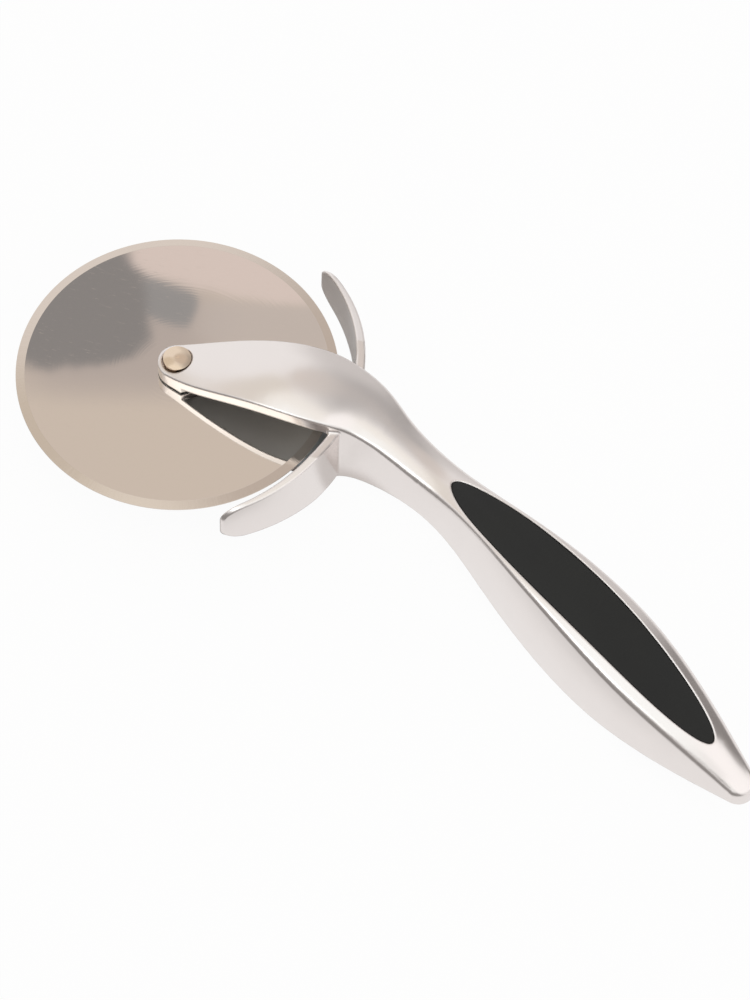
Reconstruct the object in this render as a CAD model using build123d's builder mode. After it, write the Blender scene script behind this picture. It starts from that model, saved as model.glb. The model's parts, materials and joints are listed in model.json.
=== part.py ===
from build123d import *
from math import cos, radians, sin, sqrt
import os

# A hand-held pizza wheel: a bevelled steel blade that turns on a rivet between the two tines of a
# cast handle, which bends sideways behind a finger guard and swells into a grip with soft inserts.
# It is modelled about the blade's centre, with X from the axle towards the handle, Z along the
# axle, and the blade's middle plane as its plane of symmetry.

# Blade
blade_diameter = 80.0
blade_thickness = 1.2
bevel_width = 2.2
edge_thickness = 0.3

# Rivet: a headed barrel that the blade turns on, and a headed stud pressed into its bore
axle_diameter = 5.0
axle_clearance = 0.05
stud_diameter = 3.0
head_diameter = 7.0
head_rim = 2.7
head_dome = 0.5
head_gap = 0.35
head_seat = 3.8
stud_relief = 1.0

# Washers between the fork's bosses and the blade
washer_thickness = 0.5
washer_diameter = 8.4
washer_clearance = 0.05

# Fork
nose_radius = 5.05
nose_offset = 0.3
nose_tangent = 1.3
nose_top = 5.45
nose_rounding = 0.45
boss_radius = 6.9
tine_thickness = 3.0
throat_corner = 1.6
throat_margin = 2.0

# Finger guard
rim_gap = 4.0
guard_thickness = 2.4
guard_tip_thickness = 0.95
guard_half_height = 9.3
guard_tip_half_height = 6.2
guard_tip_rounding = 4.6
guard_taper_from = 18.0
guard_spread = 56.3
guard_edge = 0.3
guard_root = 0.6

# Handle
handle_length = 139.2
neck_setback = 0.8
neck_length = 33.0
neck_angle = 25.0
neck_bend = 28.0
grip_angle = 31.0
grip_bend = 190.0
wall_radius = 120.0
tip_radius = 4.2
tip_tangent = 0.7
tip_top = 3.5
tip_rounding = 2.3

# Inserts: their length and the place of their middle are shares of the handle's length
insert_share = 0.6695
insert_place = 0.5646
insert_width = 13.9
pocket_depth = 2.5
pocket_lip = 0.25
insert_recess = 0.25
glue_gap = 0.1

# How far forms run past the rounded ends, how far cuts run through, and how closely the outline is
# measured
overrun = 3.0
reach = 40.0
outline_tolerance = 0.02

# Places that follow from the sizes above
blade_radius = blade_diameter / 2
axle_radius = axle_diameter / 2
head_radius = head_diameter / 2
slot_half = blade_thickness / 2 + washer_thickness + washer_clearance
guard_inner = blade_radius + rim_gap
guard_outer = guard_inner + guard_thickness
guard_thinning = (guard_thickness - guard_tip_thickness) / (1 - cos(radians(guard_spread)))
insert_length = insert_share * handle_length
insert_middle = guard_outer + insert_place * handle_length
lead_in = nose_radius + overrun
stud_length = 2 * head_seat - stud_relief
bottom = (Align.CENTER, Align.CENTER, Align.MIN)

# Cross sections of the fork and the handle: the place along the centreline, the half width, the half
# height at the crease where the crowned face meets the side wall, the rise of the crown above the
# crease, and the radius of the crease. The fork's places are shares of the distance from the axle to
# the guard, and the handle's are shares of its length from the guard. The first and last sections lie
# outside the rounded ends.
fork_sections = [
    (-lead_in / guard_inner, 2.95, 4.5, 0.4, 0.45),
    (0, 5.15, 5.25, 0.55, 0.45),
    (0.148, 6.9, 6.95, 0.75, 0.45),
    (0.307, 8.25, 9.35, 1.1, 0.45),
    (0.5, 9.5, 11.7, 1.5, 0.45),
    (0.73, 10.4, 12.75, 1.75, 0.45),
    (0.955, 9.9, 11.8, 1.7, 0.7),
]
handle_sections = [
    (0.025, 8.1, 10.3, 1.5, 1.0),
    (0.0815, 6.35, 8.9, 1.3, 1.4),
    (0.152, 5.4, 7.4, 1.1, 1.7),
    (0.2127, 5.2, 7.3, 1.0, 1.7),
    (0.2736, 5.5, 8.5, 0.95, 1.5),
    (0.3646, 6.7, 11.0, 0.8, 1.2),
    (0.4712, 8.4, 12.6, 1.1, 1.2),
    (0.5773, 9.5, 12.9, 1.75, 1.5),
    (0.6789, 9.75, 11.65, 2.2, 1.7),
    (0.78, 8.65, 9.3, 2.1, 1.9),
    (0.881, 6.45, 6.25, 1.8, 2.0),
    (0.9524, 4.6, 3.65, 1.0, 1.7),
    (1.0228, 3.0, 1.65, 0.4, 1.3),
]
sections = [(share * guard_inner, *sizes) for share, *sizes in fork_sections]
sections += [(guard_outer + share * handle_length, *sizes) for share, *sizes in handle_sections]
throat_end = len(fork_sections) + 2
throat_sections = sections[1:throat_end]
pocket_sections = sections[throat_end:-1]

# Centreline: straight along the fork, turned along the neck, and turned again along the grip
neck_start = guard_outer + neck_setback
with BuildLine() as centreline:
    neck = PolarLine((neck_start, 0), neck_length, -neck_angle, mode=Mode.PRIVATE)
    grip = PolarLine(neck @ 1, handle_length, -grip_angle, mode=Mode.PRIVATE)
    FilletPolyline((-lead_in, 0), neck @ 0, neck @ 1, grip @ 1, radius=[neck_bend, grip_bend])
path = centreline.wires()[0]


def section_plane(station):
    """The plane across the handle at a distance along the centreline from the axle."""
    place = path.position_at(station + lead_in, position_mode=PositionMode.LENGTH)
    along = path.tangent_at(station + lead_in, position_mode=PositionMode.LENGTH)
    return Plane(place, x_dir=Vector(-along.Y, along.X, 0), z_dir=along)


def plan_plane(station):
    """The blade's middle plane, with its origin on the centreline and X along it."""
    across = section_plane(station)
    return Plane(across.origin, x_dir=across.z_dir, z_dir=(0, 0, 1))


def sagitta(radius, half_chord):
    return radius - sqrt(radius**2 - half_chord**2)


def handle_form(stations, height_inset=0.0, width_added=0.0, rounded=True):
    """The handle's outer form through some of its sections, lowered and widened as asked."""
    with BuildPart() as form:
        for station, half_width, half_height, rise, crease in stations:
            crown = (half_width**2 + rise**2) / (2 * rise)
            top = half_height + rise - height_inset
            w = half_width + width_added
            h = top - sagitta(crown, w)
            side = w + sagitta(wall_radius, half_height)
            with BuildSketch(section_plane(station)) as section:
                with BuildLine():
                    ThreePointArc((-w, h), (0, top), (w, h))
                    ThreePointArc((w, h), (side, 0), (w, -h))
                    ThreePointArc((w, -h), (0, -top), (-w, -h))
                    ThreePointArc((-w, -h), (-side, 0), (-w, h))
                make_face()
                if rounded:
                    fillet(section.vertices(), crease)
        loft()
    return form.part


def guard_form():
    """A strip bent round the blade's rim, tapered towards two rounded wing tips."""
    tip = guard_outer * sin(radians(guard_spread))
    with BuildPart() as guard:
        with BuildSketch():
            Circle(guard_outer)
            with Locations((-guard_thinning, 0)):
                Circle(guard_inner + guard_thinning, mode=Mode.SUBTRACT)
            Rectangle(guard_outer, 2 * guard_outer, align=(Align.MAX, Align.CENTER), mode=Mode.SUBTRACT)
        extrude(amount=guard_half_height, both=True)
        with BuildSketch(Plane.YZ) as outline:
            with BuildLine():
                Polyline(
                    (-tip, -guard_tip_half_height),
                    (-guard_taper_from, -guard_half_height),
                    (guard_taper_from, -guard_half_height),
                    (tip, -guard_tip_half_height),
                    (tip, guard_tip_half_height),
                    (guard_taper_from, guard_half_height),
                    (-guard_taper_from, guard_half_height),
                    (-tip, guard_tip_half_height),
                    close=True,
                )
            make_face()
            ends = outline.vertices().group_by(Axis.X)
            fillet(ends[0] + ends[-1], guard_tip_rounding)
        extrude(amount=guard_outer, mode=Mode.INTERSECT)
        fillet(guard.edges(), guard_edge)
    return guard.part


def throat_form():
    """The space under both tines, from the bosses back to the guard's inner face."""
    with BuildPart() as throat:
        add(throat_space)
        with BuildSketch():
            Circle(guard_inner)
            Circle(boss_radius, mode=Mode.SUBTRACT)
            Rectangle(guard_inner, 2 * guard_inner, align=(Align.MIN, Align.CENTER), mode=Mode.INTERSECT)
        extrude(amount=reach, both=True, mode=Mode.INTERSECT)
        end_wall = throat.faces().filter_by(GeomType.CYLINDER).sort_by(Axis.X)[-1]
        corners = end_wall.edges().sort_by(Axis.Z)
        fillet([corners[0], corners[-1]], throat_corner)
    return throat.part


def end_trim(plane, tangent, radius, top, rounding):
    """What is cut away to leave a round end on a plane, facing along its X, with rounded rims."""
    with BuildPart() as end:
        Cylinder(radius, 2 * top)
        fillet(end.edges().filter_by(GeomType.CIRCLE), rounding)
    with BuildPart() as trim:
        with Locations((tangent, 0, 0)):
            Box(reach, reach, 2 * reach, align=(Align.MIN, Align.CENTER, Align.CENTER))
        add(end.part, mode=Mode.SUBTRACT)
    return plane.location * trim.part


outer_form = handle_form(sections)
insert_face = handle_form(sections, insert_recess)
pocket_floor = handle_form(pocket_sections, pocket_depth, rounded=False)
insert_floor = handle_form(pocket_sections, pocket_depth - glue_gap, rounded=False)
throat_space = handle_form(throat_sections, tine_thickness, throat_margin, rounded=False)
guard_strip = guard_form()
throat = throat_form()
nose_plane = Plane((nose_offset, 0, 0), x_dir=(-1, 0, 0), z_dir=(0, 0, 1))
tip_plane = plan_plane(guard_outer + handle_length - tip_radius)
nose_trim = end_trim(nose_plane, nose_tangent, nose_radius, nose_top, nose_rounding)
tip_trim = end_trim(tip_plane, tip_tangent, tip_radius, tip_top, tip_rounding)

# Pocket for an insert: an ellipse cut to an even depth below the crowned face
with BuildPart() as pocket:
    with BuildSketch(plan_plane(insert_middle)):
        Ellipse(insert_length / 2, insert_width / 2)
    extrude(amount=reach, both=True)
    add(pocket_floor, mode=Mode.SUBTRACT)

# Handle casting: grip, bent neck, fork and guard in one piece
with BuildPart() as handle_casting:
    add(outer_form)
    add(nose_trim, mode=Mode.SUBTRACT)
    add(tip_trim, mode=Mode.SUBTRACT)
    add(guard_strip)
    roots = handle_casting.edges(Select.NEW).filter_by(lambda edge: edge.length > guard_half_height)
    fillet(roots.sort_by(Axis.X)[-2:], guard_root)
    add(throat, mode=Mode.SUBTRACT)
    Cylinder(guard_inner, 2 * slot_half, mode=Mode.SUBTRACT)
    Cylinder(axle_radius, 2 * reach, mode=Mode.SUBTRACT)
    for seat in (Plane.XY, Plane.XY.rotated((180, 0, 0))):
        with BuildSketch(seat.offset(head_seat)):
            Circle(head_radius + head_gap)
        extrude(amount=reach, mode=Mode.SUBTRACT)
    add(pocket.part, mode=Mode.SUBTRACT)
    face = insert_face.solid()
    rims = handle_casting.edges(Select.NEW).filter_by(lambda edge: not face.is_inside(edge @ 0.5))
    fillet(rims.sort_by(Axis.Z)[-1], pocket_lip)
    split(bisect_by=Plane.XY)
    mirror(about=Plane.XY)
handle_casting.part.label = "handle_casting"

# Upper insert: a soft leaf that fills its pocket to just below the metal
with BuildPart() as grip_insert_upper:
    with BuildSketch(plan_plane(insert_middle)):
        Ellipse(insert_length / 2 - glue_gap, insert_width / 2 - glue_gap)
    extrude(amount=reach)
    add(insert_face, mode=Mode.INTERSECT)
    add(insert_floor, mode=Mode.SUBTRACT)
grip_insert_upper.part.label = "grip_insert_upper"

# Lower insert
with BuildPart() as grip_insert_lower:
    mirror(grip_insert_upper.part, about=Plane.XY)
grip_insert_lower.part.label = "grip_insert_lower"

# Blade: a disc with a bevel ground on both sides
with BuildPart() as blade:
    with BuildSketch(Plane.XZ):
        with BuildLine():
            Polyline(
                (axle_radius + axle_clearance, -blade_thickness / 2),
                (blade_radius - bevel_width, -blade_thickness / 2),
                (blade_radius, -edge_thickness / 2),
                (blade_radius, edge_thickness / 2),
                (blade_radius - bevel_width, blade_thickness / 2),
                (axle_radius + axle_clearance, blade_thickness / 2),
                close=True,
            )
        make_face()
    revolve(axis=Axis.Z)
blade.part.label = "blade"

# Domed head of the rivet, seated below the crown of the upper tine
with BuildPart() as rivet_head:
    with BuildSketch(Plane.XZ):
        with BuildLine():
            rim = head_seat + head_rim
            dome_radius = (head_radius**2 + head_dome**2) / (2 * head_dome)
            Polyline((0, rim + head_dome), (0, head_seat), (head_radius, head_seat), (head_radius, rim))
            RadiusArc((head_radius, rim), (0, rim + head_dome), -dome_radius)
        make_face()
    revolve(axis=Axis.Z)

# Rivet barrel: the axle under the upper head, bored for the stud
with BuildPart() as rivet_barrel:
    add(rivet_head.part)
    Cylinder(axle_radius, 2 * head_seat)
    with Locations((0, 0, -head_seat)):
        Cylinder(stud_diameter / 2, stud_length, align=bottom, mode=Mode.SUBTRACT)
rivet_barrel.part.label = "rivet_barrel"

# Rivet stud: the lower head, with the pin that fills the barrel's bore
with BuildPart() as rivet_stud:
    mirror(rivet_head.part, about=Plane.XY)
    with Locations((0, 0, -head_seat)):
        Cylinder(stud_diameter / 2, stud_length, align=bottom)
rivet_stud.part.label = "rivet_stud"

# Upper washer, on the boss of the upper tine
with BuildPart() as spacer_washer_upper:
    with BuildSketch(Plane.XY.offset(slot_half - washer_thickness)):
        Circle(washer_diameter / 2)
        Circle(axle_radius + axle_clearance, mode=Mode.SUBTRACT)
    extrude(amount=washer_thickness)
spacer_washer_upper.part.label = "spacer_washer_upper"

# Lower washer
with BuildPart() as spacer_washer_lower:
    mirror(spacer_washer_upper.part, about=Plane.XY)
spacer_washer_lower.part.label = "spacer_washer_lower"

# The part's origin is under the middle of its outline, on the surface that it lies on
pieces = [
    handle_casting,
    grip_insert_upper,
    grip_insert_lower,
    blade,
    rivet_barrel,
    rivet_stud,
    spacer_washer_upper,
    spacer_washer_lower,
]
points = [point for piece in pieces for point in piece.part.tessellate(outline_tolerance)[0]]
middle_x = (min(point.X for point in points) + max(point.X for point in points)) / 2
middle_y = (min(point.Y for point in points) + max(point.Y for point in points)) / 2
lowest = min(point.Z for point in points)
rest = Location((-middle_x, -middle_y, -lowest))

os.makedirs("parts", exist_ok=True)
for piece in pieces:
    label = piece.part.label
    placed = piece.part.moved(rest)
    placed.label = label
    export_step(placed, f"parts/{label}.step")
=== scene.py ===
import bpy
import bmesh
import json
from math import radians
from mathutils import Euler, Matrix, Vector


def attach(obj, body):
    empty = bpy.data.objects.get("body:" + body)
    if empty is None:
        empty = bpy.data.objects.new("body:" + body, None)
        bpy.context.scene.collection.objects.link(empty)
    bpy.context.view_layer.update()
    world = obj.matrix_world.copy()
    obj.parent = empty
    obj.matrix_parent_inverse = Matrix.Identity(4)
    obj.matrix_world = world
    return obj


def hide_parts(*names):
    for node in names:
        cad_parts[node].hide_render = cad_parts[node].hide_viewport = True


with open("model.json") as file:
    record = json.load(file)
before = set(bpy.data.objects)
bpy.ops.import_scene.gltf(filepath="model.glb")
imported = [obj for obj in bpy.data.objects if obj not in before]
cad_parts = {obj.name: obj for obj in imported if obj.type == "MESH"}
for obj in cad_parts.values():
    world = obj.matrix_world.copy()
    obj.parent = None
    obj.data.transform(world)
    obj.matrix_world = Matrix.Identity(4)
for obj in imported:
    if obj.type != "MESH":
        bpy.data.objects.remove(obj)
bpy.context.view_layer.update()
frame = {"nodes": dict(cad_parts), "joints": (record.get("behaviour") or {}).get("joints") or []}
scene = bpy.context.scene
scene.view_settings.view_transform = "Standard"
nodes = frame["nodes"]
axle = Vector(frame["joints"][0]["pos_m"])  # the blade's centre, where the rivet crosses its middle plane
noiseLow, noiseHigh = 0.3, 0.7  # most of a noise texture's values lie between these
print("frame loaded, blade centre at", [round(v * 1000, 2) for v in axle], "mm")


# colours are written as sRGB hex and turned to linear here
def hexColour(text):
    channels = [int(text[i:i + 2], 16) / 255 for i in (1, 3, 5)]
    linear = [c / 12.92 if c <= 0.04045 else ((c + 0.055) / 1.055) ** 2.4 for c in channels]
    return linear + [1.0]


# adds a node, sets its properties and its inputs, and links the inputs that are given as sockets
# a Mix node's sockets share their names, so they go by number: 0 is the factor, 2 and 3 are the numbers
# and 6 and 7 the colours that it mixes
def addNode(tree, kind, props=None, inputs=None):
    node = tree.nodes.new(kind)
    for name, value in (props or {}).items():
        setattr(node, name, value)
    for key, value in (inputs or {}).items():
        if isinstance(value, bpy.types.NodeSocket):
            tree.links.new(value, node.inputs[key])
        else:
            node.inputs[key].default_value = value
    return node


def newMaterial(name):
    material = bpy.data.materials.new(name)
    material.use_nodes = True
    material.node_tree.nodes.clear()
    return material, material.node_tree


# satin-chromed zinc: a die casting, blasted and then plated, so reflections spread softly over a fine
# grain and the plating clouds a little from place to place; blasting rounds the edges a little more than
# they were cast; under the tines a darker, duller bluish grey is painted shade
satinChrome = {
    "colour": "#E9E2DF", "roughness": 0.22, "cloud": 0.025, "cloudMm": 9.0,
    "grainMm": 0.3, "grainStrength": 0.012, "grainDeepMm": 0.1, "edgeMm": 0.7, "edgeSamples": 6,
    "underShadeColour": "#BCC5CB", "underRoughness": 0.45, "underFrom": -0.3, "underTo": -0.7,
}


def makeSatinChrome():
    material, tree = newMaterial("satinChromedZinc")
    place = addNode(tree, "ShaderNodeTexCoord")
    cloud = addNode(tree, "ShaderNodeTexNoise", {}, {
        "Vector": place.outputs["Object"], "Scale": 1000 / satinChrome["cloudMm"], "Detail": 3.0})
    rough = addNode(tree, "ShaderNodeMapRange", {}, {
        "Value": cloud.outputs["Fac"], "From Min": noiseLow, "From Max": noiseHigh,
        "To Min": satinChrome["roughness"] - satinChrome["cloud"],
        "To Max": satinChrome["roughness"] + satinChrome["cloud"]})
    grain = addNode(tree, "ShaderNodeTexNoise", {}, {
        "Vector": place.outputs["Object"], "Scale": 1000 / satinChrome["grainMm"], "Detail": 2.0})
    worn = addNode(tree, "ShaderNodeBevel", {"samples": satinChrome["edgeSamples"]}, {
        "Radius": satinChrome["edgeMm"] / 1000})
    blast = addNode(tree, "ShaderNodeBump", {}, {
        "Strength": satinChrome["grainStrength"], "Distance": satinChrome["grainDeepMm"] / 1000,
        "Height": grain.outputs["Fac"], "Normal": worn.outputs["Normal"]})
    # faces that look towards the blade's plane are the ones under the tines, where the painted shade goes
    height = addNode(tree, "ShaderNodeSeparateXYZ", {}, {0: place.outputs["Object"]})
    above = addNode(tree, "ShaderNodeMath", {"operation": "SUBTRACT"}, {0: height.outputs["Z"], 1: axle.z})
    side = addNode(tree, "ShaderNodeMath", {"operation": "SIGN"}, {0: above.outputs["Value"]})
    facing = addNode(tree, "ShaderNodeSeparateXYZ", {}, {0: place.outputs["Normal"]})
    inward = addNode(tree, "ShaderNodeMath", {"operation": "MULTIPLY"}, {
        0: side.outputs["Value"], 1: facing.outputs["Z"]})
    under = addNode(tree, "ShaderNodeMapRange", {}, {
        "Value": inward.outputs["Value"],
        "From Min": satinChrome["underFrom"], "From Max": satinChrome["underTo"]})
    # painted shade: the faces under the tines get the darker, duller bluish grey
    colour = addNode(tree, "ShaderNodeMix", {"data_type": "RGBA"}, {
        0: under.outputs["Result"],
        6: hexColour(satinChrome["colour"]), 7: hexColour(satinChrome["underShadeColour"])})
    finish = addNode(tree, "ShaderNodeMix", {"data_type": "FLOAT"}, {
        0: under.outputs["Result"], 2: rough.outputs["Result"], 3: satinChrome["underRoughness"]})
    shader = addNode(tree, "ShaderNodeBsdfPrincipled", {}, {
        "Base Color": colour.outputs[2], "Metallic": 1.0,
        "Roughness": finish.outputs[0], "Normal": blast.outputs["Normal"]})
    addNode(tree, "ShaderNodeOutputMaterial", {}, {"Surface": shader.outputs["BSDF"]})
    return material


# polished stainless steel: a buffed disc, close to a mirror with faint rings from the buffing wheel and
# hairline scratches from use, and a bevel left as the grindstone cut it, which scatters more light
# the scratches are drawn 0.15 mm wide, wider than real ones, to show at this size
polishedSteel = {
    "colour": "#DDD4CC", "bevelColour": "#D6C9BE", "mirror": 0.02, "ground": 0.07, "hollow": 0.09,
    "bevelFromMm": 37.75, "bevelToMm": 37.85, "ringMm": 0.6, "ringStrength": 0.003,
    "strokes": 260.0, "strokeStrength": 0.1, "cutDeepMm": 0.1,
    "scratchTurns": (24.0, -47.0), "scratchMm": (4.0, 0.15),
    "scratchFrom": 0.68, "scratchTo": 0.78, "scratched": 0.105,
}


def makePolishedSteel():
    material, tree = newMaterial("polishedStainless")
    deep = polishedSteel["cutDeepMm"] / 1000
    place = addNode(tree, "ShaderNodeTexCoord")
    flat = addNode(tree, "ShaderNodeMapping", {"vector_type": "POINT"}, {
        "Vector": place.outputs["Object"], "Location": (-axle.x, -axle.y, 0.0), "Scale": (1.0, 1.0, 0.0)})
    out = addNode(tree, "ShaderNodeVectorMath", {"operation": "LENGTH"}, {0: flat.outputs["Vector"]})
    bevel = addNode(tree, "ShaderNodeMapRange", {}, {
        "Value": out.outputs["Value"],
        "From Min": polishedSteel["bevelFromMm"] / 1000, "From Max": polishedSteel["bevelToMm"] / 1000})
    # buffing rings by distance from the axle, grinding strokes by angle round it
    rings = addNode(tree, "ShaderNodeTexNoise", {"noise_dimensions": "1D"}, {
        "W": out.outputs["Value"], "Scale": 1000 / polishedSteel["ringMm"], "Detail": 3.0})
    around = addNode(tree, "ShaderNodeVectorMath", {"operation": "NORMALIZE"}, {0: flat.outputs["Vector"]})
    strokes = addNode(tree, "ShaderNodeTexNoise", {}, {
        "Vector": around.outputs["Vector"], "Scale": polishedSteel["strokes"], "Detail": 2.0})
    buffed = addNode(tree, "ShaderNodeBump", {}, {
        "Strength": polishedSteel["ringStrength"], "Distance": deep, "Height": rings.outputs["Fac"]})
    cut = addNode(tree, "ShaderNodeMath", {"operation": "MULTIPLY"}, {
        0: bevel.outputs["Result"], 1: polishedSteel["strokeStrength"]})
    # the grindstone's rim leaves the bevel hollow, so by the flat its face leans out less than the cone
    outward = addNode(tree, "ShaderNodeVectorTransform", {
        "vector_type": "VECTOR", "convert_from": "OBJECT", "convert_to": "WORLD"}, {
        0: around.outputs["Vector"]})
    lean = addNode(tree, "ShaderNodeMath", {"operation": "MULTIPLY"}, {
        0: bevel.outputs["Result"], 1: -polishedSteel["hollow"]})
    back = addNode(tree, "ShaderNodeVectorMath", {"operation": "SCALE"}, {
        0: outward.outputs["Vector"], "Scale": lean.outputs["Value"]})
    hollow = addNode(tree, "ShaderNodeVectorMath", {"operation": "ADD"}, {
        0: buffed.outputs["Normal"], 1: back.outputs["Vector"]})
    ground = addNode(tree, "ShaderNodeBump", {}, {
        "Strength": cut.outputs["Value"], "Distance": deep,
        "Height": strokes.outputs["Fac"], "Normal": hollow.outputs["Vector"]})
    rough = addNode(tree, "ShaderNodeMapRange", {}, {
        "Value": bevel.outputs["Result"],
        "To Min": polishedSteel["mirror"], "To Max": polishedSteel["ground"]})
    # hairlines: noise drawn out along two directions, of which only the peaks count
    long, fine = polishedSteel["scratchMm"]
    finish = rough.outputs["Result"]
    for turn in polishedSteel["scratchTurns"]:
        along = addNode(tree, "ShaderNodeMapping", {"vector_type": "POINT"}, {
            "Vector": flat.outputs["Vector"], "Rotation": (0, 0, radians(turn)),
            "Scale": (1000 / long, 1000 / fine, 0)})
        hairs = addNode(tree, "ShaderNodeTexNoise", {}, {
            "Vector": along.outputs["Vector"], "Scale": 1.0, "Detail": 1.0})
        scratch = addNode(tree, "ShaderNodeMapRange", {}, {
            "Value": hairs.outputs["Fac"], "From Min": polishedSteel["scratchFrom"],
            "From Max": polishedSteel["scratchTo"], "To Max": polishedSteel["scratched"]})
        finish = addNode(tree, "ShaderNodeMath", {"operation": "MAXIMUM"}, {
            0: finish, 1: scratch.outputs["Result"]}).outputs["Value"]
    colour = addNode(tree, "ShaderNodeMix", {"data_type": "RGBA"}, {
        0: bevel.outputs["Result"],
        6: hexColour(polishedSteel["colour"]), 7: hexColour(polishedSteel["bevelColour"])})
    shader = addNode(tree, "ShaderNodeBsdfPrincipled", {}, {
        "Base Color": colour.outputs[2], "Metallic": 1.0,
        "Roughness": finish, "Normal": ground.outputs["Normal"]})
    addNode(tree, "ShaderNodeOutputMaterial", {}, {"Surface": shader.outputs["BSDF"]})
    return material


# warm nickel: a plated rivet, tumbled bright, with the yellowish cast of nickel and small dings
warmNickel = {
    "colour": "#E3CFBA", "roughness": 0.12, "varied": 0.03,
    "dingMm": 1.2, "dingStrength": 0.05, "dingDeepMm": 0.2,
}


def makeWarmNickel():
    material, tree = newMaterial("warmNickel")
    place = addNode(tree, "ShaderNodeTexCoord")
    dings = addNode(tree, "ShaderNodeTexNoise", {}, {
        "Vector": place.outputs["Object"], "Scale": 1000 / warmNickel["dingMm"], "Detail": 1.0})
    dinged = addNode(tree, "ShaderNodeBump", {}, {
        "Strength": warmNickel["dingStrength"], "Distance": warmNickel["dingDeepMm"] / 1000,
        "Height": dings.outputs["Fac"]})
    rough = addNode(tree, "ShaderNodeMapRange", {}, {
        "Value": dings.outputs["Fac"], "From Min": noiseLow, "From Max": noiseHigh,
        "To Min": warmNickel["roughness"] - warmNickel["varied"],
        "To Max": warmNickel["roughness"] + warmNickel["varied"]})
    shader = addNode(tree, "ShaderNodeBsdfPrincipled", {}, {
        "Base Color": hexColour(warmNickel["colour"]), "Metallic": 1.0,
        "Roughness": rough.outputs["Result"], "Normal": dinged.outputs["Normal"]})
    addNode(tree, "ShaderNodeOutputMaterial", {}, {"Surface": shader.outputs["BSDF"]})
    return material


# soft-touch rubber: moulded against a spark-eroded tool, so it is matte and nearly black, with a fine grit
# that is drawn at 0.4 mm, coarser than the real 0.1 mm, to show at this size
softRubber = {
    "colour": "#181817", "worn": "#20201E", "patchMm": 14.0, "roughness": 0.62, "varied": 0.05,
    "gritMm": 0.4, "gritStrength": 0.25, "gritDeepMm": 0.1, "ior": 1.5, "specular": 0.35,
}


def makeSoftRubber():
    material, tree = newMaterial("softTouchRubber")
    place = addNode(tree, "ShaderNodeTexCoord")
    grit = addNode(tree, "ShaderNodeTexNoise", {}, {
        "Vector": place.outputs["Object"], "Scale": 1000 / softRubber["gritMm"], "Detail": 2.0})
    eroded = addNode(tree, "ShaderNodeBump", {}, {
        "Strength": softRubber["gritStrength"], "Distance": softRubber["gritDeepMm"] / 1000,
        "Height": grit.outputs["Fac"]})
    patch = addNode(tree, "ShaderNodeTexNoise", {}, {
        "Vector": place.outputs["Object"], "Scale": 1000 / softRubber["patchMm"], "Detail": 3.0})
    shade = addNode(tree, "ShaderNodeMapRange", {}, {
        "Value": patch.outputs["Fac"], "From Min": noiseLow, "From Max": noiseHigh})
    colour = addNode(tree, "ShaderNodeMix", {"data_type": "RGBA"}, {
        0: shade.outputs["Result"], 6: hexColour(softRubber["colour"]), 7: hexColour(softRubber["worn"])})
    rough = addNode(tree, "ShaderNodeMapRange", {}, {
        "Value": patch.outputs["Fac"], "From Min": noiseLow, "From Max": noiseHigh,
        "To Min": softRubber["roughness"] - softRubber["varied"],
        "To Max": softRubber["roughness"] + softRubber["varied"]})
    shader = addNode(tree, "ShaderNodeBsdfPrincipled", {}, {
        "Base Color": colour.outputs[2], "Roughness": rough.outputs["Result"], "IOR": softRubber["ior"],
        "Specular IOR Level": softRubber["specular"], "Normal": eroded.outputs["Normal"]})
    addNode(tree, "ShaderNodeOutputMaterial", {}, {"Surface": shader.outputs["BSDF"]})
    return material


# nylon: punched washers, dull and slightly mottled, in the shade between boss and blade
darkNylon = {"colour": "#262423", "pale": "#34312F", "mottleMm": 0.8, "roughness": 0.5, "ior": 1.53}


def makeDarkNylon():
    material, tree = newMaterial("darkNylon")
    place = addNode(tree, "ShaderNodeTexCoord")
    mottle = addNode(tree, "ShaderNodeTexNoise", {}, {
        "Vector": place.outputs["Object"], "Scale": 1000 / darkNylon["mottleMm"], "Detail": 2.0})
    colour = addNode(tree, "ShaderNodeMix", {"data_type": "RGBA"}, {
        0: mottle.outputs["Fac"], 6: hexColour(darkNylon["colour"]), 7: hexColour(darkNylon["pale"])})
    shader = addNode(tree, "ShaderNodeBsdfPrincipled", {}, {
        "Base Color": colour.outputs[2], "Roughness": darkNylon["roughness"], "IOR": darkNylon["ior"]})
    addNode(tree, "ShaderNodeOutputMaterial", {}, {"Surface": shader.outputs["BSDF"]})
    return material


finishes = {
    "handle_casting": makeSatinChrome(),
    "blade": makePolishedSteel(),
    "rivet_barrel": makeWarmNickel(),
    "spacer_washer_upper": makeDarkNylon(),
}
finishes["rivet_stud"] = finishes["rivet_barrel"]
finishes["spacer_washer_lower"] = finishes["spacer_washer_upper"]
for name, material in finishes.items():
    nodes[name].material_slots[0].material = material
rubber = makeSoftRubber()
print("finishes on", len(finishes), "pieces")

# grip inserts: a leaf of rubber whose face follows the crown of the grip, with a soft rounded edge
gripInsert = {
    "fromAxleMm": (115.689, -37.128), "turn": -31.0, "lengthMm": 92.9, "widthMm": 13.6, "thickMm": 1.7,
    "edgeMm": 0.35, "edgeSteps": 4, "around": 200, "rings": (0.12, 0.14, 0.15, 0.15, 0.15, 0.12, 0.1),
    "lookFromMm": 100.0, "lookIn": 0.985,
}


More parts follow.
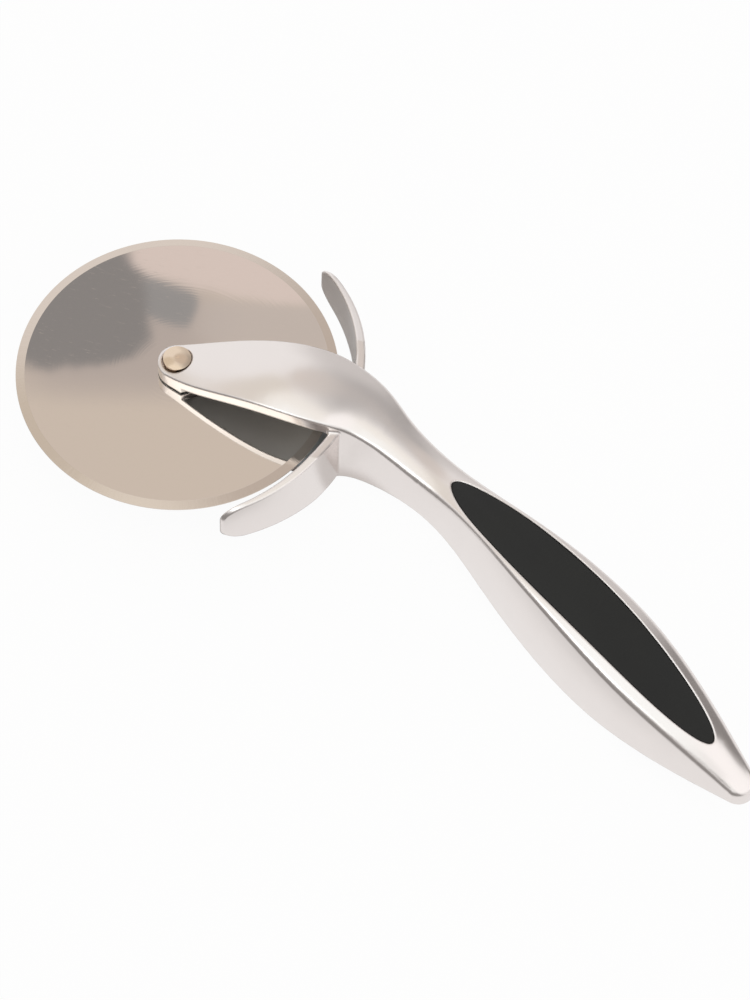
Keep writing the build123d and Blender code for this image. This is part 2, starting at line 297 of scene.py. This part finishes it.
def makeInsert(name, cadName, side):
    bm = bmesh.new()
    bmesh.ops.create_circle(bm, cap_ends=True, segments=gripInsert["around"], radius=1.0)
    rim = list(bm.edges)
    for ring in gripInsert["rings"]:
        middle = max(bm.faces, key=lambda face: len(face.verts))
        bmesh.ops.inset_region(bm, faces=[middle], thickness=ring)
    bmesh.ops.poke(bm, faces=[max(bm.faces, key=lambda face: len(face.verts))])
    size = (gripInsert["lengthMm"] / 2000, gripInsert["widthMm"] / 2000, 1.0)
    centre = Vector((axle.x, axle.y, 0)) + Vector((*gripInsert["fromAxleMm"], 0)) / 1000
    turned = Matrix.Translation(centre) @ Matrix.Rotation(radians(gripInsert["turn"]), 4, "Z")
    bmesh.ops.scale(bm, vec=size, verts=bm.verts)
    bmesh.ops.transform(bm, matrix=turned, verts=bm.verts)
    # every point is laid on the solid's face, looked up just inside the rim so that the ray meets it
    lookFrom = axle.z + side * gripInsert["lookFromMm"] / 1000
    for vert in bm.verts:
        inside = centre + (vert.co - centre) * gripInsert["lookIn"]
        hit = nodes[cadName].ray_cast(Vector((inside.x, inside.y, lookFrom)), Vector((0, 0, -side)))
        vert.co.z = hit[1].z
    thick = bmesh.ops.extrude_edge_only(bm, edges=rim)
    low = [item for item in thick["geom"] if isinstance(item, bmesh.types.BMVert)]
    bmesh.ops.translate(bm, vec=(0, 0, -side * gripInsert["thickMm"] / 1000), verts=low)
    bmesh.ops.edgeloop_fill(bm, edges=[edge for edge in bm.edges if edge.is_boundary])
    bmesh.ops.recalc_face_normals(bm, faces=bm.faces)
    bmesh.ops.bevel(
        bm, geom=rim, offset=gripInsert["edgeMm"] / 1000, segments=gripInsert["edgeSteps"],
        profile=0.5, affect="EDGES", material=-1)
    mesh = bpy.data.meshes.new(name)
    bm.to_mesh(mesh)
    bm.free()
    mesh.shade_smooth()
    mesh.materials.append(rubber)
    piece = bpy.data.objects.new(name, mesh)
    scene.collection.objects.link(piece)
    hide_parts(cadName)
    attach(piece, "handle")


makeInsert("rubberLeafUpper", "grip_insert_upper", 1)
makeInsert("rubberLeafLower", "grip_insert_lower", -1)
print("rubber leaves laid in the grip")


# sheets of the studio: a flat grid on its own matrix, which isn't part of the object
def makeSheet(name, half, matrix):
    bm = bmesh.new()
    bmesh.ops.create_grid(bm, x_segments=1, y_segments=1, size=half)
    mesh = bpy.data.meshes.new(name)
    bm.to_mesh(mesh)
    bm.free()
    sheet = bpy.data.objects.new(name, mesh)
    sheet.matrix_world = matrix
    scene.collection.objects.link(sheet)
    return sheet


# floor: white paper, which the camera sees as lit from below with a faint shadow left in it; the metal sees
# it so too, but with painted shade: darker paper that loses its glow under the blade; and a grey room past
# the near edge of the paper
# lengths are in metres: shade and room by distance from the axle, the edge along edgeToward
floorPaper = {
    "half": 3.0, "colour": "#F4F3F2", "glowSeen": 0.955, "glowMirrored": 0.9,
    "shaded": "#DEDCDA", "shadeTo": 0.042, "clearFrom": 0.049,
    "edgeToward": (-0.515, -0.857, 0.0), "edgeFrom": 0.008, "edgeTo": 0.045,
    "beyond": "#959391", "roomFrom": 0.055, "roomTo": 0.066,
}
floor = makeSheet("floorPaper", floorPaper["half"], Matrix())
material, tree = newMaterial("whitePaper")
path = addNode(tree, "ShaderNodeLightPath")
place = addNode(tree, "ShaderNodeTexCoord")
inMetal = addNode(tree, "ShaderNodeMath", {"operation": "MAXIMUM"}, {
    0: path.outputs["Is Glossy Ray"], 1: path.outputs["Is Transmission Ray"]})
fromAxle = addNode(tree, "ShaderNodeVectorMath", {"operation": "DISTANCE"}, {
    0: place.outputs["Object"], 1: (axle.x, axle.y, 0)})
# painted shade: the glow that the metal sees fades out under the blade
clear = addNode(tree, "ShaderNodeMapRange", {"interpolation_type": "SMOOTHSTEP"}, {
    "Value": fromAxle.outputs["Value"],
    "From Min": floorPaper["shadeTo"], "From Max": floorPaper["clearFrom"],
    "To Max": floorPaper["glowMirrored"]})
lit = addNode(tree, "ShaderNodeMath", {"operation": "MULTIPLY"}, {
    0: inMetal.outputs["Value"], 1: clear.outputs["Result"]})
seen = addNode(tree, "ShaderNodeMath", {"operation": "MULTIPLY_ADD"}, {
    0: path.outputs["Is Camera Ray"], 1: floorPaper["glowSeen"], 2: lit.outputs["Value"]})
# painted shade: the paper that the metal sees is the darker shaded colour
dull = addNode(tree, "ShaderNodeMix", {"data_type": "RGBA"}, {
    0: inMetal.outputs["Value"], 6: hexColour(floorPaper["colour"]), 7: hexColour(floorPaper["shaded"])})
paper = addNode(tree, "ShaderNodeBsdfDiffuse", {}, {"Color": dull.outputs[2]})
glow = addNode(tree, "ShaderNodeEmission", {}, {"Strength": 1.0})
litPaper = addNode(tree, "ShaderNodeMixShader", {}, {
    "Fac": seen.outputs["Value"], 1: paper.outputs[0], 2: glow.outputs[0]})
# the grey room shows only to the metal, past the paper's straight edge and clear of the guard
outward = addNode(tree, "ShaderNodeVectorMath", {"operation": "DOT_PRODUCT"}, {
    0: place.outputs["Object"], 1: floorPaper["edgeToward"]})
past = addNode(tree, "ShaderNodeMapRange", {"interpolation_type": "SMOOTHSTEP"}, {
    "Value": outward.outputs["Value"],
    "From Min": floorPaper["edgeFrom"], "From Max": floorPaper["edgeTo"]})
away = addNode(tree, "ShaderNodeMapRange", {"interpolation_type": "SMOOTHSTEP"}, {
    "Value": fromAxle.outputs["Value"],
    "From Min": floorPaper["roomFrom"], "From Max": floorPaper["roomTo"]})
pastBoth = addNode(tree, "ShaderNodeMath", {"operation": "MULTIPLY"}, {
    0: past.outputs["Result"], 1: away.outputs["Result"]})
beyond = addNode(tree, "ShaderNodeMath", {"operation": "MULTIPLY"}, {
    0: pastBoth.outputs["Value"], 1: inMetal.outputs["Value"]})
room = addNode(tree, "ShaderNodeEmission", {}, {"Color": hexColour(floorPaper["beyond"]), "Strength": 1.0})
shown = addNode(tree, "ShaderNodeMixShader", {}, {
    "Fac": beyond.outputs["Value"], 1: litPaper.outputs[0], 2: room.outputs[0]})
addNode(tree, "ShaderNodeOutputMaterial", {}, {"Surface": shown.outputs[0]})
floor.data.materials.append(material)
print("floor laid")

# studio: a white tent, dim to the far right and grey on its open near side
# each zone is a cap of directions that fades in between two cosines of the angle from its middle
tent = {
    "white": "#FFFFFF",
    "zones": [
        {"name": "dimSide", "toward": (0.6, 0.5, 0.62), "fade": (0.62, 0.95), "colour": "#B6B4B3"},
        {"name": "farGlow", "toward": (0.1, 0.95, 0.3), "fade": (0.87, 0.985), "colour": "#DCDAD9"},
        {"name": "darkDoor", "toward": (0.52, 0.69, 0.51), "fade": (0.96, 0.993), "colour": "#888583"},
        {"name": "beigeWall", "toward": (-0.06, 0.5, 0.864), "fade": (0.955, 0.99), "colour": "#DDD7D2"},
        {"name": "paleWall", "toward": (-0.68, 0.1, 0.73), "fade": (0.95, 0.995), "colour": "#EAE4DC"},
        {"name": "paleCorner", "toward": (-0.44, 0.22, 0.87), "fade": (0.955, 0.985), "colour": "#E8E3DA"},
        {"name": "openNear", "toward": (0.1, -0.99, -0.1), "fade": (0.80, 0.93), "colour": "#959391"},
        {"name": "openSide", "toward": (-0.72, -0.68, -0.15), "fade": (0.55, 0.85), "colour": "#9D9B99"},
        {"name": "behindCamera", "toward": (0.08, -0.74, 0.66), "fade": (0.96, 0.99), "colour": "#A9A6A4"},
    ],
}
world = bpy.data.worlds.new("whiteTent")
scene.world = world
world.use_nodes = True
tree = world.node_tree
tree.nodes.clear()
place = addNode(tree, "ShaderNodeTexCoord")
shade = hexColour(tent["white"])
for zone in tent["zones"]:
    low, high = zone["fade"]
    toward = addNode(tree, "ShaderNodeVectorMath", {"operation": "DOT_PRODUCT", "label": zone["name"]}, {
        0: place.outputs["Generated"], 1: Vector(zone["toward"]).normalized()})
    inZone = addNode(tree, "ShaderNodeMapRange", {"interpolation_type": "SMOOTHSTEP"}, {
        "Value": toward.outputs["Value"], "From Min": low, "From Max": high})
    mixed = addNode(tree, "ShaderNodeMix", {"data_type": "RGBA"}, {
        0: inZone.outputs["Result"], 6: shade, 7: hexColour(zone["colour"])})
    shade = mixed.outputs[2]
lightPath = addNode(tree, "ShaderNodeLightPath")
shown = addNode(tree, "ShaderNodeMix", {"data_type": "RGBA"}, {
    0: lightPath.outputs["Is Camera Ray"], 6: shade, 7: hexColour(tent["white"])})
background = addNode(tree, "ShaderNodeBackground", {}, {"Color": shown.outputs[2], "Strength": 1.0})
addNode(tree, "ShaderNodeOutputWorld", {}, {"Surface": background.outputs[0]})
print("tent up, with", len(tent["zones"]), "zones")

# camera: fitted to the photograph from the blade's rim and the handle's outline
viewpoint = {
    "lensMm": 180.0, "filmMm": 36.0,
    "fromAxle": (0.241175, -0.637668, 1.0347), "turn": (31.9191, -1.2218, 18.4606),
}
lens = bpy.data.cameras.new("photoCamera")
lens.sensor_fit = "VERTICAL"
lens.sensor_height = viewpoint["filmMm"]
lens.lens = viewpoint["lensMm"]
camera = bpy.data.objects.new("photoCamera", lens)
camera.location = axle + Vector(viewpoint["fromAxle"])
camera.rotation_euler = Euler([radians(a) for a in viewpoint["turn"]])
scene.collection.objects.link(camera)
scene.camera = camera

# cloths: soft-edged patches on a sheet that only the metal sees, each laid over the ones before it
# "at" and "half" are in metres on the sheet, and "ragged" is how far the fraying eats into an edge
plainCloth = {"turn": 0.0, "level": 1.0, "cover": 1.0, "ragged": 0.0}
frayMm = 20.0


def hangCloths(name, cloths, matrix):
    sheet = makeSheet(name, cloths["half"], matrix)
    sheet.visible_camera = False
    sheet.visible_diffuse = False
    sheet.visible_shadow = False
    material, tree = newMaterial(name)
    place = addNode(tree, "ShaderNodeTexCoord")
    frayed = addNode(tree, "ShaderNodeTexNoise", {}, {
        "Vector": place.outputs["Object"], "Scale": 1000 / frayMm, "Detail": 4.0})
    surface = addNode(tree, "ShaderNodeBsdfTransparent").outputs[0]
    for changes in cloths["patches"]:
        patch = {**plainCloth, **changes}
        off = addNode(tree, "ShaderNodeMapping", {"vector_type": "TEXTURE"}, {
            "Vector": place.outputs["Object"], "Location": (*patch["at"], 0),
            "Rotation": (0, 0, radians(patch["turn"])), "Scale": (*patch["half"], 1)})
        # the length of the squares gives a rectangle with round corners
        squared = addNode(tree, "ShaderNodeVectorMath", {"operation": "MULTIPLY"}, {
            0: off.outputs["Vector"], 1: off.outputs["Vector"]})
        boxed = addNode(tree, "ShaderNodeVectorMath", {"operation": "LENGTH"}, {
            0: squared.outputs["Vector"]})
        edge = addNode(tree, "ShaderNodeMath", {"operation": "MULTIPLY_ADD"}, {
            0: frayed.outputs["Fac"], 1: patch["ragged"], 2: boxed.outputs["Value"]})
        rim = 1.0 + patch["ragged"] / 2
        within = addNode(tree, "ShaderNodeMapRange", {"interpolation_type": "SMOOTHSTEP"}, {
            "Value": edge.outputs["Value"],
            "From Min": rim + patch["soft"], "From Max": rim - patch["soft"], "To Max": patch["cover"]})
        dye = addNode(tree, "ShaderNodeEmission", {"label": patch["name"]}, {
            "Color": hexColour(patch["colour"]), "Strength": patch["level"]})
        surface = addNode(tree, "ShaderNodeMixShader", {}, {
            "Fac": within.outputs["Result"], 1: surface, 2: dye.outputs[0]}).outputs[0]
    addNode(tree, "ShaderNodeOutputMaterial", {}, {"Surface": surface})
    sheet.data.materials.append(material)


# softbox: a cloth over the object with its bright core and tube, and a smaller panel beside it
softbox = {
    "up": 0.30, "half": 0.4,
    "patches": [
        {"name": "lampCloth", "at": (-0.0585, -0.143), "half": (0.18, 0.2), "turn": -19.6,
         "colour": "#FFFEF8", "level": 1.07, "soft": 0.25},
        {"name": "sidePanel", "at": (0.215, -0.01), "half": (0.17, 0.1), "turn": 20.0,
         "colour": "#FFFFFF", "level": 1.2, "soft": 0.25},
        {"name": "lampCore", "at": (-0.07, -0.2), "half": (0.17, 0.19), "turn": -19.6,
         "colour": "#FAFFFF", "level": 1.21, "soft": 0.25},
        {"name": "tube", "at": (-0.14, -0.205), "half": (0.14, 0.088), "turn": -40.0,
         "colour": "#FAFFFF", "level": 2.3, "soft": 0.4},
    ],
}
hangCloths("softbox", softbox, Matrix.Translation((0, 0, softbox["up"])))

# painted shade: a grey patch on a sheet just over the paper, under the neck, that only the metal sees, as
# the near wing of the guard mirrors it
neckShade = {
    "up": 0.0003, "half": 0.1,
    "patches": [
        {"name": "underNeck", "at": (-0.0135, 0.009), "half": (0.009, 0.007),
         "colour": "#D5D2D0", "soft": 0.5},
    ],
}
hangCloths("neckShade", neckShade, Matrix.Translation((0, 0, neckShade["up"])))

# what the blade mirrors: a far beige wall with cloths on it, square to the camera's image in the blade
mirroredWall = {
    "away": 3.0, "half": 0.33,
    "patches": [
        {"name": "beige", "at": (0.0, 0.0), "half": (0.2186, 0.2186),
         "colour": "#E8DFD6", "soft": 0.46},
        {"name": "greyShade", "at": (-0.0488, 0.0275), "half": (0.0848, 0.0466),
         "colour": "#CFC8C5", "soft": 0.75, "ragged": 0.2},
        {"name": "band", "at": (0.0874, 0.0383), "half": (0.07, 0.0197), "turn": -4.0,
         "colour": "#DAD4D2", "cover": 0.8, "soft": 0.5, "ragged": 0.3},
        {"name": "greyFlap", "at": (-0.012, 0.0595), "half": (0.0284, 0.0164), "turn": -20.0,
         "colour": "#ABADB0", "soft": 0.3, "ragged": 0.5},
        {"name": "grey", "at": (-0.087, 0.0557), "half": (0.0623, 0.0514), "turn": 5.0,
         "colour": "#9D9D9F", "soft": 0.2, "ragged": 0.5},
        {"name": "pale", "at": (0.0404, 0.0929), "half": (0.0809, 0.0262), "turn": -12.0,
         "colour": "#F5EAE7", "soft": 0.22, "ragged": 0.4},
    ],
}
flip = Matrix.Scale(-1, 4, (0, 0, 1))  # mirrors the camera in the blade's plane
ahead = flip @ (axle - camera.location)
turned = flip @ camera.rotation_euler.to_matrix().to_4x4()
hung = Matrix.Translation(axle + ahead.normalized() * mirroredWall["away"]) @ turned
hangCloths("hungCloths", mirroredWall, hung)
print("camera and cloths set")
